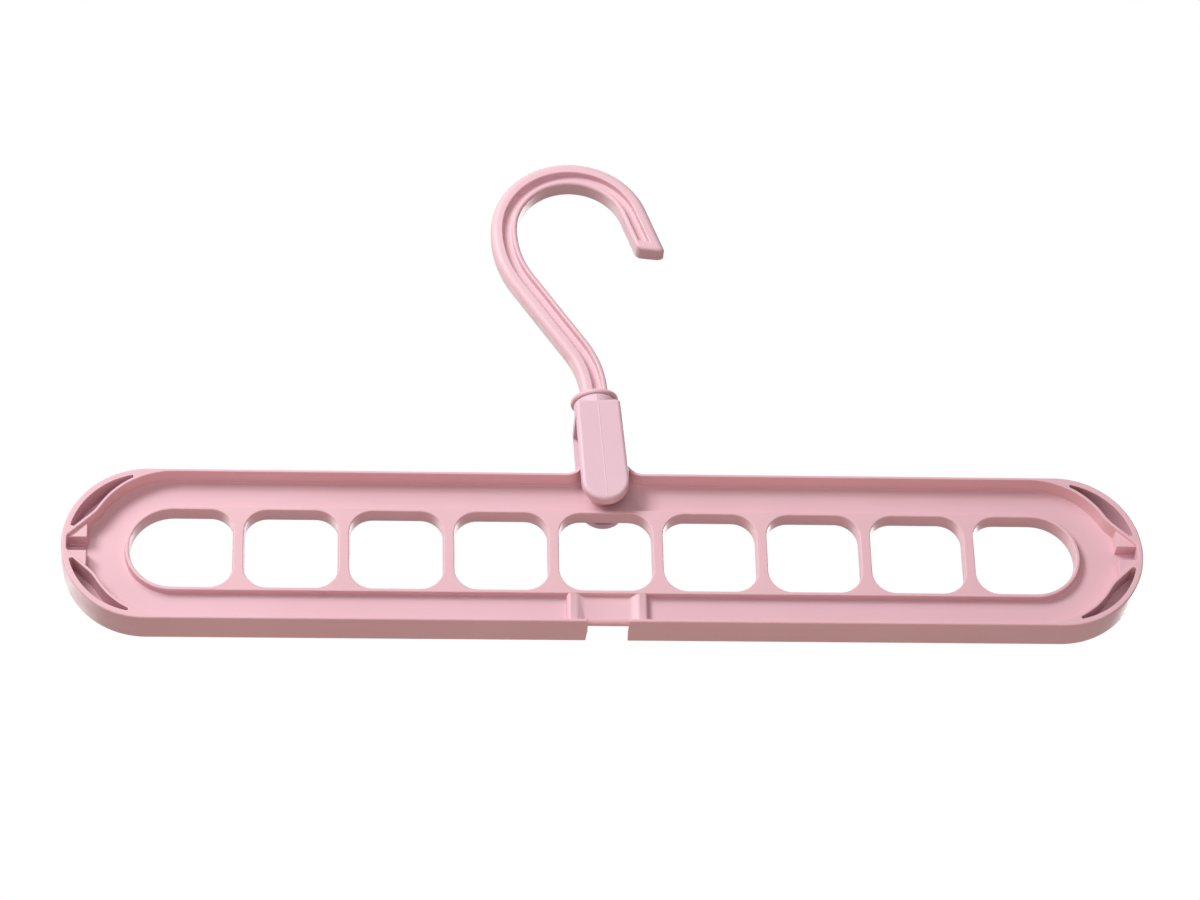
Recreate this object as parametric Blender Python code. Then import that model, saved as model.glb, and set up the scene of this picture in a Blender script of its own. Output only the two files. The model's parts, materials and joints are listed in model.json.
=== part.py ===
"""Hanger organizer: a swivel hook, a fork yoke and a bar with nine hanger holes.

The origin is where the rail touches the inside of the hook's arc. +Z is up, X runs
along the bar and the front faces -Y. All lengths are in metres.
"""
import math

import bpy
import bmesh
from mathutils import Matrix, Vector

# Clearances and the overrun that every cutter shares
CLEARANCE = 0.0003
OVERRUN = 0.002
LEAN_DEG = 3.6

# Bar: overall size, walls and web
BAR_LENGTH = 0.365
BAR_HEIGHT = 0.0573
BAR_DEPTH = 0.014
BAR_EDGE = 0.0004
RAIL_WALL = 0.0012
END_WALL = 0.0019
WEB_THICKNESS = 0.0018
RECESS_DRAFT = 0.0005

# Bar: curved wall that closes the recess at each end
CURL_RADIUS = 0.028
CURL_STEEP_DEG = 59.4
CURL_BACK_RADIUS = 0.0158
CURL_FLAT_DEG = 43.0
CURL_CORNER = 0.0016
CURL_FLOOR_HALF = 0.0018
CURL_WALL = 0.001

# Bar: crescent pocket between the curved wall and the outer wall
POCKET_WALL = 0.0022
POCKET_DEPTH = 0.009
POCKET_TIP_GAP = 0.0009

# Bar: pair of blocks that leave a slot at each end
BLOCK_LENGTH = 0.0067
BLOCK_DROP = 0.0012
SLOT_HALF = 0.0025

# Bar: raised rim round the row of holes
RIM_MARGIN = 0.0212
RIM_LENGTH = BAR_LENGTH - 2 * RIM_MARGIN
RIM_HEIGHT = 0.032
RIM_THICKNESS = 0.007
RIM_WALL = 0.00127
RIM_DRAFT = 0.0003

# Bar: the row of holes, of which the end ones are a little longer
HOLE_COUNT = 9
SEPARATOR = 0.0035
END_HOLE_EXTRA = 0.00302
HOLE_CORNER = 0.008
HOLE_DRAFT = 0.00035
HOLE_PITCH = (RIM_LENGTH - 2 * (RIM_WALL + END_HOLE_EXTRA) + SEPARATOR) / HOLE_COUNT

# Bar: hub that the yoke pivots on
PIVOT_DROP = 0.0044
HUB_RADIUS = 0.011
HUB_FILLET = 0.0055
BOSS_RADIUS = 0.0058
BOSS_RECESS = 0.0003
PIN_RADIUS = 0.002
PIN_REACH = 0.0034
PIN_TAPER = 0.0006

# Bar: notch in the lower wall, where a second hanger hooks on
NOTCH_HALF = 0.007
RIB_RIDGE_IN = 0.0103
RIB_RIDGE_OUT = 0.0135
RIB_ROUND = 0.0007
RIB_DROP = 0.0001
PLATE_THICKNESS = 0.0034
PLATE_SETBACK = 0.0023

# Yoke: two legs that widen to round ends, joined by a head with a round seat on top
LEG_HALF_WIDTH = 0.00775
LEG_FOOT_RADIUS = 0.0081
LEG_THICKNESS = 0.0037
LEG_EDGE = 0.0014
HEAD_BOTTOM = 0.0254
HEAD_SHOULDER = 0.0314
HEAD_ROUND = 0.0018
HEAD_TOP = 0.0352
HEAD_SEAT_RADIUS = 0.0074
HEAD_FLARE = 0.0019
HEAD_CAVITY_HALF = 0.0081
HEAD_CAVITY_TOP = 0.027
HEAD_CAVITY_ROUND = 0.001
HEAD_LAP = 0.0011
SHANK_BORE = 0.0033

# Hook: collar and snap shank
COLLAR_RADIUS = 0.0084
COLLAR_THICKNESS = 0.0019
COLLAR_EDGE = 0.0008
SHANK_RADIUS = 0.003
BARB_RADIUS = 0.0041
BARB_TIP_RADIUS = 0.0026
BARB_LENGTH = 0.0032
BARB_LIP = 0.0006
SHANK_SLIT = 0.001
SLIT_RISE = 0.0055

# Hook: cross-section of the grooved band
BAND_WIDTH = 0.0093
BAND_THICKNESS = 0.0074
BAND_EDGE = 0.0011
GROOVE_OUTER = 0.0005
GROOVE_INNER = 0.0029
GROOVE_DEPTH = 0.0024
GROOVE_DRAFT = 0.0003
GROOVE_RUN = 0.0004
GROOVE_END = 0.0037

# Hook: course of the band from the collar to the tip
STEM_FOOT = 0.003
STEM_BEND_RADIUS = 0.036
STEM_LEAN_DEG = 30.2
STEM_LENGTH = 0.0325
SHOULDER_RADIUS = 0.0377
SHOULDER_DEG = 35.2
ARC_RADIUS = 0.02375
ARC_DEG = 158.6
TIP_LENGTH = 0.0174
TIP_CUT_DEG = 26.0
TIP_ROUND = 0.0011

# Facets
ARC_STEPS = 28
CURL_STEPS = 9
SMALL_STEPS = 5
HOLE_STEPS = 6
ROUND_STEPS = 32
BAND_STEPS = 26
SHARP_DEG = 32.0


def clear_scene():
    for obj in list(bpy.data.objects):
        bpy.data.objects.remove(obj, do_unlink=True)


def plastic(name, colour):
    material = bpy.data.materials.new(name)
    material.use_nodes = True
    shader = material.node_tree.nodes["Principled BSDF"]
    shader.inputs["Base Color"].default_value = colour
    shader.inputs["Roughness"].default_value = 0.42
    shader.inputs["Metallic"].default_value = 0.0
    return material


def bar_plastic():
    return plastic("pink_bar_plastic", (0.79, 0.52, 0.56, 1.0))


def yoke_plastic():
    return plastic("pink_yoke_plastic", (0.80, 0.54, 0.59, 1.0))


def hook_plastic():
    return plastic("pink_hook_plastic", (0.82, 0.56, 0.61, 1.0))


def empty(name, parent=None, location=(0, 0, 0), lean_deg=0):
    obj = bpy.data.objects.new(name, None)
    bpy.context.collection.objects.link(obj)
    obj.parent = parent
    obj.location = location
    obj.rotation_euler = (0, -math.radians(lean_deg), 0)
    return obj


def object_from(name, bm, parent=None, location=(0, 0, 0), material=None):
    mesh = bpy.data.meshes.new(name)
    bm.to_mesh(mesh)
    bm.free()
    obj = bpy.data.objects.new(name, mesh)
    bpy.context.collection.objects.link(obj)
    obj.parent = parent
    obj.location = location
    if material:
        mesh.materials.append(material)
    return obj


def guide(name, bm, parent, location=(0, 0, 0)):
    obj = object_from(name, bm, parent, location)
    obj.hide_render = True
    obj.display_type = "WIRE"
    return obj


def boolean(target, operand, operation):
    modifier = target.modifiers.new(operand.name, "BOOLEAN")
    modifier.object = operand
    modifier.operation = operation
    modifier.solver = "EXACT"


def join_to(target, operand):
    boolean(target, operand, "UNION")


def cut_from(target, operand):
    boolean(target, operand, "DIFFERENCE")


def arc(centre, radius, start_deg, end_deg, steps):
    points = []
    for step in range(steps + 1):
        angle = math.radians(start_deg + (end_deg - start_deg) * step / steps)
        points.append((centre[0] + radius * math.cos(angle), centre[1] + radius * math.sin(angle)))
    return points


def mirror_x(points):
    return [(-x, z) for x, z in reversed(points)]


def mirror_z(points):
    return [(x, -z) for x, z in reversed(points)]


def chain(*runs):
    """One outline from several runs, with a shared end point kept once."""
    points = []
    for run in runs:
        for point in run:
            if not points or math.dist(point, points[-1]) > CLEARANCE / 10:
                points.append(point)
    if math.dist(points[0], points[-1]) < CLEARANCE / 10:
        points.pop()
    return points


def add_loop(bm, points, y):
    return [bm.verts.new((x, y, z)) for x, z in points]


def add_band(bm, first, second):
    """A ring of quads between two loops with the same number of points."""
    count = len(first)
    for index in range(count):
        after = (index + 1) % count
        bm.faces.new((first[index], first[after], second[after], second[index]))


def add_stack(bm, outline, levels):
    """Loops of one outline, each at its own inset and y, joined by bands."""
    loops = [add_loop(bm, outline(inset), y) for inset, y in levels]
    for lower, upper in zip(loops, loops[1:]):
        add_band(bm, lower, upper)
    return loops[0], loops[-1]


def edges_of(bm, loop):
    found = []
    for index, vert in enumerate(loop):
        after = loop[(index + 1) % len(loop)]
        found.append(bm.edges.get((vert, after)) or bm.edges.new((vert, after)))
    return found


def add_plane(bm, loops):
    """A flat region bounded by one outer loop and any number of inner loops."""
    edges = [edge for loop in loops for edge in edges_of(bm, loop)]
    bmesh.ops.triangle_fill(bm, use_beauty=True, use_dissolve=False, edges=edges)


def finish_solid(bm):
    bmesh.ops.recalc_face_normals(bm, faces=bm.faces)
    if bm.calc_volume(signed=True) < 0:
        bmesh.ops.reverse_faces(bm, faces=bm.faces)
    return bm


def prism(points, y_front, y_back):
    bm = bmesh.new()
    front = add_loop(bm, points, y_front)
    back = add_loop(bm, points, y_back)
    add_band(bm, front, back)
    bm.faces.new(front)
    bm.faces.new(back)
    return finish_solid(bm)


def cross_prism(section, x_left, x_right):
    """A solid with a constant (y, z) section along X."""
    bm = bmesh.new()
    left = [bm.verts.new((x_left, y, z)) for y, z in section]
    right = [bm.verts.new((x_right, y, z)) for y, z in section]
    add_band(bm, left, right)
    bm.faces.new(left)
    bm.faces.new(right)
    return finish_solid(bm)


def upright_prism(section, z_low, z_high):
    """A solid with a constant (x, y) section along Z."""
    bm = bmesh.new()
    low = [bm.verts.new((x, y, z_low)) for x, y in section]
    high = [bm.verts.new((x, y, z_high)) for x, y in section]
    add_band(bm, low, high)
    bm.faces.new(low)
    bm.faces.new(high)
    return finish_solid(bm)


def rectangle(wide, deep):
    return [(-wide, -deep), (wide, -deep), (wide, deep), (-wide, deep)]


def turned(profile, steps, side=0, height=0):
    """A solid turned about Z from (radius, z) points, both ends on the axis."""
    bm = bmesh.new()
    ends = [bm.verts.new((side, 0, height + z)) for radius, z in (profile[0], profile[-1])]
    rings = []
    for radius, z in profile[1:-1]:
        ring = arc((side, 0), radius, 0, 360, steps)[:-1]
        rings.append([bm.verts.new((x, y, height + z)) for x, y in ring])
    for lower, upper in zip(rings, rings[1:]):
        add_band(bm, lower, upper)
    for ring, end in ((rings[0], ends[0]), (rings[-1], ends[1])):
        for index, vert in enumerate(ring):
            bm.faces.new((vert, ring[(index + 1) % steps], end))
    return finish_solid(bm)


def shade(obj):
    obj.data.shade_smooth()
    obj.data.set_sharp_from_angle(angle=math.radians(SHARP_DEG))


def hub_points(inset, pivot_z):
    """The rail's bump over the pivot, from right to left."""
    height = PIVOT_DROP + HUB_FILLET
    side = math.sqrt((HUB_RADIUS + HUB_FILLET) ** 2 - height ** 2)
    lift_deg = math.degrees(math.atan2(height, side))
    fillet = HUB_FILLET + inset
    centre = (side, pivot_z + height)
    right = arc(centre, fillet, 270, 180 + lift_deg, SMALL_STEPS)
    crown = arc((0, pivot_z), HUB_RADIUS - inset, lift_deg, 180 - lift_deg, ARC_STEPS // 2)
    return chain(right, crown, mirror_x(right))


def bar_outline(inset):
    """The outer outline of the bar, counter-clockwise from the lower right."""
    radius = BAR_HEIGHT / 2
    centre = BAR_LENGTH / 2 - radius
    right = arc((centre, 0), radius - inset, -90, 90, ARC_STEPS)
    return chain(right, hub_points(inset, radius - PIVOT_DROP), mirror_x(right))


def curl_run(inset, cornered):
    """The recess edge at one end, from the upper rail to the slot, as arcs and a line."""
    steep = math.radians(CURL_STEEP_DEG)
    flat = math.radians(CURL_FLAT_DEG)
    rail = BAR_HEIGHT / 2 - RAIL_WALL
    drop = CURL_RADIUS * (1 - math.cos(steep))
    drop += CURL_BACK_RADIUS * (math.cos(flat) - math.cos(steep))
    drop += CURL_CORNER * math.cos(flat)
    straight = (rail - drop - CURL_FLOOR_HALF) / math.sin(flat)
    length = CURL_RADIUS * math.sin(steep)
    length += CURL_BACK_RADIUS * (math.sin(steep) - math.sin(flat))
    length += straight * math.cos(flat)
    length += CURL_CORNER * (1 - math.sin(flat))
    start = BAR_LENGTH / 2 - END_WALL - length
    first = (start, rail - CURL_RADIUS)
    points = arc(first, CURL_RADIUS - inset, 90, 90 - CURL_STEEP_DEG, CURL_STEPS)
    reach = CURL_RADIUS + CURL_BACK_RADIUS
    second = (first[0] + reach * math.sin(steep), first[1] + reach * math.cos(steep))
    back = arc(second, CURL_BACK_RADIUS + inset, 270 - CURL_STEEP_DEG, 270 - CURL_FLAT_DEG, SMALL_STEPS)
    points = chain(points, back)
    last = points[-1]
    points.append((last[0] + straight * math.cos(flat), last[1] - straight * math.sin(flat)))
    if cornered:
        corner = (BAR_LENGTH / 2 - END_WALL - CURL_CORNER, CURL_FLOOR_HALF)
        turn = arc(corner, CURL_CORNER - inset, 90 - CURL_FLAT_DEG, 0, SMALL_STEPS)
        points = chain(points, turn)
    return points


def recess_outline(inset):
    """The inner edge of the rails, curved walls and hub, counter-clockwise."""
    upper_right = curl_run(inset, True)
    right = chain(mirror_z(upper_right)[::-1], upper_right[::-1])
    hub = hub_points(RAIL_WALL + inset, BAR_HEIGHT / 2 - PIVOT_DROP)
    return chain(right, hub, mirror_x(right))


def rim_outline(inset):
    radius = RIM_HEIGHT / 2
    centre = RIM_LENGTH / 2 - radius
    right = arc((centre, 0), radius - inset, -90, 90, ARC_STEPS // 2)
    return chain(right, mirror_x(right))


def hole_outline(index):
    """The outline of one hole of the row; the end holes have a round outer end.

    The draft only moves the sides, so the top and bottom stay flat.
    """
    middle = (index - (HOLE_COUNT - 1) / 2) * HOLE_PITCH
    half = (HOLE_PITCH - SEPARATOR) / 2
    height = RIM_HEIGHT / 2 - RIM_WALL
    round_centre = (RIM_LENGTH - RIM_HEIGHT) / 2

    def bend(x, z, radius, inset, start_deg, end_deg, steps):
        points = arc((0, 0), radius, start_deg, end_deg, steps)
        share = 1 - inset / radius
        return [(x + across * share, z + up) for across, up in points]

    def outline(inset):
        side = middle + half - HOLE_CORNER
        left = middle - half + HOLE_CORNER
        rise = height - HOLE_CORNER
        right_end = chain(
            bend(side, -rise, HOLE_CORNER, inset, -90, 0, HOLE_STEPS),
            bend(side, rise, HOLE_CORNER, inset, 0, 90, HOLE_STEPS),
        )
        left_end = chain(
            bend(left, rise, HOLE_CORNER, inset, 90, 180, HOLE_STEPS),
            bend(left, -rise, HOLE_CORNER, inset, 180, 270, HOLE_STEPS),
        )
        if index == HOLE_COUNT - 1:
            right_end = bend(round_centre, 0, height, inset, -90, 90, ARC_STEPS // 2)
        if index == 0:
            left_end = bend(-round_centre, 0, height, inset, 90, 270, ARC_STEPS // 2)
        return chain(right_end, left_end)

    return outline


def inside_circle(points, centre, radius):
    """The part of a run that lies inside a circle, cut at the circle."""
    kept = []
    for first, last in zip(points, points[1:]):
        first_gap = radius - math.dist(first, centre)
        last_gap = radius - math.dist(last, centre)
        if first_gap * last_gap < 0:
            share = first_gap / (first_gap - last_gap)
            x = first[0] + (last[0] - first[0]) * share
            z = first[1] + (last[1] - first[1]) * share
            kept.append((x, z))
        if last_gap > 0:
            kept.append(last)
    return kept


def pocket_outline(side, level):
    """A crescent between the curved wall and the outer wall at one corner."""
    radius = BAR_HEIGHT / 2 - POCKET_WALL
    centre = (BAR_LENGTH / 2 - BAR_HEIGHT / 2, 0)
    inner = inside_circle(curl_run(-CURL_WALL, False), centre, radius - POCKET_TIP_GAP)
    start_deg = math.degrees(math.atan2(inner[-1][1], inner[-1][0] - centre[0]))
    end_deg = math.degrees(math.atan2(inner[0][1], inner[0][0] - centre[0]))
    outer = arc(centre, radius, start_deg, end_deg, CURL_STEPS)
    return [(side * x, level * z) for x, z in chain(outer, inner)]


def bar_body():
    """The bar's moulding: rails, web, rim and holes, as one closed mesh."""
    bm = bmesh.new()
    face = BAR_DEPTH / 2
    rim_face = RIM_THICKNESS / 2
    web_face = WEB_THICKNESS / 2
    outer_front, outer_back = add_stack(
        bm,
        bar_outline,
        ((BAR_EDGE, -face), (0, BAR_EDGE - face), (0, face - BAR_EDGE), (BAR_EDGE, face)),
    )
    front_pockets = []
    for side in (1, -1):
        for level in (1, -1):
            outline = pocket_outline(side, level)
            mouth = add_loop(bm, outline, -face)
            floor = add_loop(bm, outline, POCKET_DEPTH - face)
            add_band(bm, mouth, floor)
            bm.faces.new(floor)
            front_pockets.append(mouth)
    hole_rims = {-1: [], 1: []}
    for index in range(HOLE_COUNT):
        levels = ((0, -rim_face), (HOLE_DRAFT, 0), (0, rim_face))
        front, back = add_stack(bm, hole_outline(index), levels)
        hole_rims[-1].append(front)
        hole_rims[1].append(back)
    for sign, outer, pockets in ((-1, outer_front, front_pockets), (1, outer_back, [])):
        mouth, foot = add_stack(
            bm, recess_outline, ((0, sign * face), (RECESS_DRAFT, sign * web_face))
        )
        base, top = add_stack(
            bm, rim_outline, ((-RIM_DRAFT, sign * web_face), (0, sign * rim_face))
        )
        add_plane(bm, [outer, mouth] + pockets)
        add_plane(bm, [foot, base])
        add_plane(bm, [top] + hole_rims[sign])
    return finish_solid(bm)


def boss_solid(pivot_z):
    half = BAR_DEPTH / 2 - BOSS_RECESS
    return prism(arc((0, pivot_z), BOSS_RADIUS, 0, 360, ROUND_STEPS)[:-1], -half, half)


def bore_solid(pivot_z):
    half = BAR_DEPTH / 2 + OVERRUN
    radius = PIN_RADIUS + CLEARANCE
    return prism(arc((0, pivot_z), radius, 0, 360, ROUND_STEPS)[:-1], -half, half)


def block_solid(side, level):
    """Half of the block pair at one end, from its slot to the curved wall."""
    wall_end = BAR_LENGTH / 2 - END_WALL / 2
    start = BAR_LENGTH / 2 - END_WALL - BLOCK_LENGTH
    run = [point for point in curl_run(-CURL_WALL / 2, False) if point[1] > SLOT_HALF]
    before = max(point for point in run if point[0] < start)
    after = min(point for point in run if point[0] > start)
    share = (start - before[0]) / (after[0] - before[0])
    first = (start, before[1] + share * (after[1] - before[1]))
    points = [(start, SLOT_HALF), (wall_end, SLOT_HALF), after, first]
    half = BAR_DEPTH / 2 - BLOCK_DROP
    return prism([(side * x, level * z) for x, z in points], -half, half)


def rib_solid(side):
    """A rib from the rim to the lower wall, with a sloped flank towards the notch."""
    half = RIM_THICKNESS / 2 - RIB_DROP
    plate = PLATE_THICKNESS / 2 - CLEARANCE
    foot = NOTCH_HALF + CLEARANCE
    edge = RIB_ROUND
    section = [
        (foot, plate),
        (RIB_RIDGE_IN - edge, half - edge),
        (RIB_RIDGE_IN + edge / 2, half),
        (RIB_RIDGE_OUT - edge, half),
        (RIB_RIDGE_OUT, half - edge),
    ]
    outline = section + [(x, -y) for x, y in reversed(section)]
    top = -(RIM_HEIGHT / 2 - RIM_WALL / 2)
    bottom = -(BAR_HEIGHT / 2 - RAIL_WALL / 2)
    return upright_prism([(side * x, y) for x, y in outline], bottom, top)


def plate_solid():
    """The thick floor of the notch, with a round lower edge."""
    half = PLATE_THICKNESS / 2
    top = -(RIM_HEIGHT / 2 - RIM_WALL / 2)
    nose = -(BAR_HEIGHT / 2 - PLATE_SETBACK)
    round_edge = arc((0, nose + half), half, 180, 360, SMALL_STEPS * 2)
    section = chain([(-half, top)], round_edge, [(half, top)])
    reach = (NOTCH_HALF + RIB_RIDGE_IN) / 2
    return cross_prism(section, -reach, reach)


def notch_solid():
    """What the notch takes out of the lower wall."""
    half = BAR_DEPTH / 2 + OVERRUN
    bottom = -BAR_HEIGHT / 2
    top = bottom + PLATE_SETBACK + PLATE_THICKNESS / 2
    points = [
        (-NOTCH_HALF, bottom - OVERRUN),
        (NOTCH_HALF, bottom - OVERRUN),
        (NOTCH_HALF, top),
        (-NOTCH_HALF, top),
    ]
    return prism(points, -half, half)


def make_bar(pivot):
    pivot_z = BAR_HEIGHT / 2 - PIVOT_DROP
    origin = (0, 0, -pivot_z)
    body = bar_body()
    body.transform(Matrix.Translation(origin))
    bar = object_from("nine_hole_bar", body, pivot, material=bar_plastic())
    cut_from(bar, guide("notch_cutter", notch_solid(), pivot, origin))
    join_to(bar, guide("notch_floor", plate_solid(), pivot, origin))
    for side in (1, -1):
        join_to(bar, guide("notch_rib", rib_solid(side), pivot, origin))
        for level in (1, -1):
            join_to(bar, guide("end_block", block_solid(side, level), pivot, origin))
    join_to(bar, guide("pivot_boss", boss_solid(pivot_z), pivot, origin))
    cut_from(bar, guide("pivot_bore", bore_solid(pivot_z), pivot, origin))
    shade(bar)
    return bar


def yoke_depth():
    """Half of the yoke's full depth, front to back."""
    return BAR_DEPTH / 2 + CLEARANCE + LEG_THICKNESS


def leg_outline(inset):
    """Front view of a leg and its head: a round lower end and round upper corners."""
    corner = (LEG_HALF_WIDTH - HEAD_ROUND, HEAD_SHOULDER - HEAD_ROUND)
    right = arc(corner, HEAD_ROUND - inset, 0, 90, SMALL_STEPS)
    foot = arc((0, 0), LEG_FOOT_RADIUS - inset, 180, 360, ARC_STEPS)
    return chain(right, mirror_x(right), foot)


def yoke_shell():
    bm = bmesh.new()
    depth = yoke_depth()
    step = LEG_EDGE / 2
    levels = (
        (LEG_EDGE, -depth),
        (step / 2, step - depth),
        (0, LEG_EDGE - depth),
        (0, depth - LEG_EDGE),
        (step / 2, depth - step),
        (LEG_EDGE, depth),
    )
    front, back = add_stack(bm, leg_outline, levels)
    bm.faces.new(front)
    bm.faces.new(back)
    return finish_solid(bm)


def head_ring(bm, z, share):
    """A horizontal section of the dome, from a long ellipse to the collar's round seat."""
    stretch = 1 + (1 - share) * HEAD_FLARE / HEAD_SEAT_RADIUS
    circle = arc((0, 0), HEAD_SEAT_RADIUS, 0, 360, ROUND_STEPS)[:-1]
    return [bm.verts.new((x, y * stretch, z)) for x, y in circle]


def head_dome():
    """The dome between the head's shoulder and the collar."""
    bm = bmesh.new()
    rings = [head_ring(bm, HEAD_SHOULDER - HEAD_LAP, 0), head_ring(bm, HEAD_SHOULDER, 0)]
    rise = HEAD_TOP - HEAD_SHOULDER
    for step in range(1, SMALL_STEPS + 1):
        angle = math.pi / 2 * step / SMALL_STEPS
        rings.append(head_ring(bm, HEAD_SHOULDER + rise * math.sin(angle), 1 - math.cos(angle)))
    for lower, upper in zip(rings, rings[1:]):
        add_band(bm, lower, upper)
    bm.faces.new(rings[0])
    bm.faces.new(rings[-1])
    return finish_solid(bm)


def gap_solid():
    """The space between the legs, where the bar turns."""
    half = BAR_DEPTH / 2 + CLEARANCE
    wide = LEG_HALF_WIDTH + OVERRUN
    return upright_prism(rectangle(wide, half), -wide, HEAD_BOTTOM)


def cavity_solid():
    """The low window over the legs' gap, a little deeper than the gap itself."""
    wide = LEG_HALF_WIDTH + OVERRUN
    low = HEAD_BOTTOM - CLEARANCE
    flat = HEAD_CAVITY_HALF - HEAD_CAVITY_ROUND
    spring = HEAD_CAVITY_TOP - HEAD_CAVITY_ROUND
    right = arc((flat, spring), HEAD_CAVITY_ROUND, 0, 90, SMALL_STEPS)
    section = chain([(HEAD_CAVITY_HALF, low)], right, mirror_x(right), [(-HEAD_CAVITY_HALF, low)])
    return cross_prism(section, -wide, wide)


def shank_bore_solid():
    low = HEAD_BOTTOM
    high = HEAD_TOP + OVERRUN
    profile = ((0, low), (SHANK_BORE, low), (SHANK_BORE, high), (0, high))
    return turned(profile, ROUND_STEPS)


def pin_solid(side):
    """A stub pin on the inner face of one leg, tapered to snap in."""
    bm = bmesh.new()
    root = BAR_DEPTH / 2 + CLEARANCE + LEG_THICKNESS / 2
    tip = BAR_DEPTH / 2 + CLEARANCE - PIN_REACH
    levels = ((0, side * root), (0, side * (tip + PIN_TAPER)), (PIN_TAPER, side * tip))

    def outline(inset):
        return arc((0, 0), PIN_RADIUS - inset, 0, 360, ROUND_STEPS)[:-1]

    first, last = add_stack(bm, outline, levels)
    bm.faces.new(first)
    bm.faces.new(last)
    return finish_solid(bm)


def make_yoke(frame):
    yoke = object_from("fork_yoke", yoke_shell(), frame, material=yoke_plastic())
    join_to(yoke, guide("head_dome", head_dome(), frame))
    cut_from(yoke, guide("leg_gap", gap_solid(), frame))
    cut_from(yoke, guide("head_cavity", cavity_solid(), frame))
    cut_from(yoke, guide("shank_bore", shank_bore_solid(), frame))
    for side in (-1, 1):
        join_to(yoke, guide("stub_pin", pin_solid(side), frame))
    shade(yoke)
    return yoke


def band_course():
    """The band's pieces in order, each with its groove share, inset and cut share.

    A piece is a straight of some length, or an arc of some radius through some turn.
    """
    tip_run = TIP_LENGTH - GROOVE_END - GROOVE_RUN
    return [
        (STEM_FOOT - GROOVE_RUN, 0, 1, (0, 0, 0)),
        (GROOVE_RUN, 0, 1, (1, 0, 0)),
        (STEM_BEND_RADIUS, STEM_LEAN_DEG, SMALL_STEPS, (1, 0, 0)),
        (STEM_LENGTH, 0, 1, (1, 0, 0)),
        (SHOULDER_RADIUS, -SHOULDER_DEG, SMALL_STEPS, (1, 0, 0)),
        (ARC_RADIUS, -ARC_DEG, BAND_STEPS, (1, 0, 0)),
        (tip_run, 0, 1, (1, 0, 1)),
        (GROOVE_RUN, 0, 1, (0, 0, 1)),
        (GROOVE_END - TIP_ROUND, 0, 1, (0, 0, 1)),
        (TIP_ROUND * 2 / 3, 0, 1, (0, TIP_ROUND / 3, 1)),
        (TIP_ROUND / 3, 0, 1, (0, TIP_ROUND, 1)),
    ]


def walk(course):
    """Stations along a course: (x, z, heading, options), from the collar upwards."""
    x = 0
    z = HEAD_TOP + CLEARANCE + COLLAR_THICKNESS / 2
    heading = math.pi / 2
    stations = [(x, z, heading, (0, 0, 0))]
    for size, turn_deg, steps, options in course:
        turn = math.radians(turn_deg) / steps
        stride = 2 * size * math.sin(abs(turn) / 2) if turn_deg else size / steps
        for step in range(steps):
            x += stride * math.cos(heading + turn / 2)
            z += stride * math.sin(heading + turn / 2)
            heading += turn
            stations.append((x, z, heading, options))
    return stations


def arc_centre():
    """The centre of the band's big arc, in the yoke's frame."""
    x, z, heading, options = walk(band_course()[:5])[-1]
    return (x + ARC_RADIUS * math.sin(heading), z - ARC_RADIUS * math.cos(heading))


def pivot_location():
    """Where the pivot lies when the rail touches the arc's inside at the origin."""
    lean = math.radians(LEAN_DEG)
    x, z = arc_centre()
    across = x * math.cos(lean) - z * math.sin(lean)
    up = x * math.sin(lean) + z * math.cos(lean)
    return (-across, 0, -up - (ARC_RADIUS - BAND_WIDTH / 2))


def band_section(groove, inset):
    """Cross-section of the band: (offset to the left of the course, y)."""
    half = BAND_WIDTH / 2 - inset
    face = BAND_THICKNESS / 2 - inset
    floor = face - GROOVE_DEPTH * groove
    side = half - BAND_EDGE
    inner = inset - GROOVE_INNER
    front = chain(
        arc((side, BAND_EDGE - face), BAND_EDGE, 0, -90, 3),
        [(GROOVE_OUTER, -face), (GROOVE_OUTER - GROOVE_DRAFT, -floor)],
        [(inner + GROOVE_DRAFT, -floor), (inner, -face)],
        arc((-side, BAND_EDGE - face), BAND_EDGE, -90, -180, 3),
    )
    return front + [(offset, -y) for offset, y in reversed(front)]


def band_solid():
    bm = bmesh.new()
    slope = math.tan(math.radians(TIP_CUT_DEG))
    loops = []
    for x, z, heading, (groove, inset, cut) in walk(band_course()):
        along = Vector((math.cos(heading), 0, math.sin(heading)))
        left = Vector((-math.sin(heading), 0, math.cos(heading)))
        loop = []
        for offset, y in band_section(groove, inset):
            point = Vector((x, y, z)) + left * offset + along * (offset * slope * cut)
            loop.append(bm.verts.new(point))
        loops.append(loop)
    for lower, upper in zip(loops, loops[1:]):
        add_band(bm, lower, upper)
    bm.faces.new(loops[0])
    bm.faces.new(loops[-1])
    return finish_solid(bm)


def stub_solid():
    """The collar that rests on the yoke, and the shank with its snap head below."""
    seat = HEAD_TOP + CLEARANCE
    top = seat + COLLAR_THICKNESS
    catch = HEAD_CAVITY_TOP - CLEARANCE
    tip = catch - BARB_LENGTH
    rim = COLLAR_RADIUS - COLLAR_EDGE
    profile = [(0, tip), (BARB_TIP_RADIUS, tip), (BARB_RADIUS, catch - BARB_LIP)]
    profile += [(BARB_RADIUS, catch), (SHANK_RADIUS, catch), (SHANK_RADIUS, seat)]
    profile += arc((rim, seat + COLLAR_EDGE), COLLAR_EDGE, -90, 0, 3)
    profile += arc((rim, top - COLLAR_EDGE), COLLAR_EDGE, 0, 90, 3)
    profile.append((0, top))
    return turned(profile, ROUND_STEPS)


def slit_solid():
    """The slit that lets the snap head close while it goes through the yoke."""
    tip = HEAD_CAVITY_TOP - CLEARANCE - BARB_LENGTH
    section = rectangle(SHANK_SLIT / 2, BARB_RADIUS + OVERRUN)
    return upright_prism(section, tip - OVERRUN, tip + SLIT_RISE)


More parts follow.
